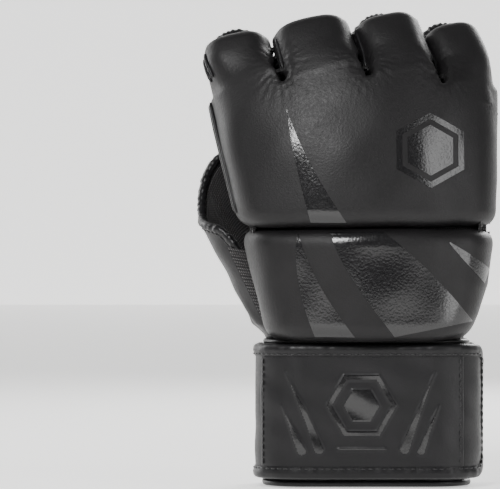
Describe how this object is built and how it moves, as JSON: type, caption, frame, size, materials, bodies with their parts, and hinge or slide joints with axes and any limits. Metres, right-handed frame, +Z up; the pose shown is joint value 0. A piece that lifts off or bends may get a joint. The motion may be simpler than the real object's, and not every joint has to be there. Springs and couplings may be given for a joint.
{
  "type": "mixed martial arts glove",
  "caption": "Open-palm padded hand glove with separate finger loops, thumb sheath and wrapped hook-and-loop wrist strap.",
  "frame": {"origin": "middle of the cuff's lower rim, on the plane it stands on", "axes": "+Z up from the cuff to the fingers, +Y out of the palm, -Y out of the padded back, -X towards the thumb of this right-hand glove"},
  "size_m": [0.148, 0.0911, 0.2351],
  "materials": {
    "pad_leather": "matte grained synthetic leather, near black",
    "body_leather": "matte synthetic leather, near black",
    "binding_tape": "satin folded binding, black",
    "smooth_panel": "smooth satin synthetic leather with gloss black print",
    "knit_lining": "ribbed knit, brownish black",
    "elastic_knit": "ribbed elastic, black",
    "loop_pile": "loop pile, black",
    "hook_plastic": "moulded hooks, black",
    "foam": "closed-cell foam, dark grey, hidden"
  },
  "bodies": {
    "hand": {"cuff_shell": "body_leather", "cuff_lining": "knit_lining", "cuff_rim_binding": "binding_tape", "wrist_strap": "body_leather", "wrist_strap_binding": "binding_tape", "loop_patch": "loop_pile", "backhand_cover": "pad_leather", "backhand_foam": "foam", "hand_lining": "knit_lining", "heel_panel": "body_leather", "heel_binding": "binding_tape", "outer_side_panel": "body_leather", "thumb_gusset": "elastic_knit"},
    "strap_end": {"closure_tab": "body_leather", "closure_tab_binding": "binding_tape", "hook_patch": "hook_plastic", "tab_panel": "smooth_panel"},
    "knuckles": {"knuckle_cover": "pad_leather", "knuckle_foam": "foam", "knuckle_lining": "knit_lining", "palm_band": "body_leather", "palm_band_binding": "binding_tape", "index_side_panel": "body_leather", "little_side_panel": "body_leather"},
    "thumb": {"thumb_sheath": "body_leather", "thumb_lining": "knit_lining", "thumb_binding": "binding_tape", "thumb_guard_cover": "pad_leather", "thumb_guard_foam": "foam"},
    "index": {"index_cover": "pad_leather", "index_foam": "foam", "index_sleeve": "body_leather", "index_lining": "knit_lining", "index_binding": "binding_tape"},
    "middle": {"middle_cover": "pad_leather", "middle_foam": "foam", "middle_sleeve": "body_leather", "middle_lining": "knit_lining", "middle_binding": "binding_tape"},
    "ring": {"ring_cover": "pad_leather", "ring_foam": "foam", "ring_sleeve": "body_leather", "ring_lining": "knit_lining", "ring_binding": "binding_tape"},
    "little": {"little_cover": "pad_leather", "little_foam": "foam", "little_sleeve": "body_leather", "little_lining": "knit_lining", "little_binding": "binding_tape"}
  },
  "joints": [
    {"name": "strap_peel", "type": "hinge", "parent": "hand", "child": "strap_end", "pos_m": [-0.0544, -0.015, 0.0365], "axis": [0, 0, -1], "range_deg": [0, 110]},
    {"name": "knuckle_fold", "type": "hinge", "parent": "hand", "child": "knuckles", "pos_m": [0, 0, 0.1247], "axis": [-1, 0, 0], "range_deg": [0, 10], "stiffness_Nm_per_rad": 0.6},
    {"name": "index_curl", "type": "hinge", "parent": "knuckles", "child": "index", "pos_m": [-0.057, 0.01066, 0.1843], "axis": [-0.9745, 0.0113, -0.2243], "range_deg": [0, 25], "stiffness_Nm_per_rad": 0.15},
    {"name": "middle_curl", "type": "hinge", "parent": "knuckles", "child": "middle", "pos_m": [-0.0199, 0.00567, 0.18632], "axis": [-0.9729, -0.0567, -0.2243], "range_deg": [0, 25], "stiffness_Nm_per_rad": 0.15},
    {"name": "ring_curl", "type": "hinge", "parent": "knuckles", "child": "ring", "pos_m": [0.01692, 0.00464, 0.18673], "axis": [-0.9665, -0.1244, -0.2243], "range_deg": [0, 25], "stiffness_Nm_per_rad": 0.15},
    {"name": "little_curl", "type": "hinge", "parent": "knuckles", "child": "little", "pos_m": [0.04982, 0.01122, 0.18408], "axis": [-0.9555, -0.1915, -0.2243], "range_deg": [0, 25], "stiffness_Nm_per_rad": 0.15},
    {"name": "thumb_swing", "type": "hinge", "parent": "hand", "child": "thumb", "pos_m": [-0.024, 0.011, 0.08], "axis": [0, 1, 0], "range_deg": [0, 10], "stiffness_Nm_per_rad": 0.2}
  ]
}
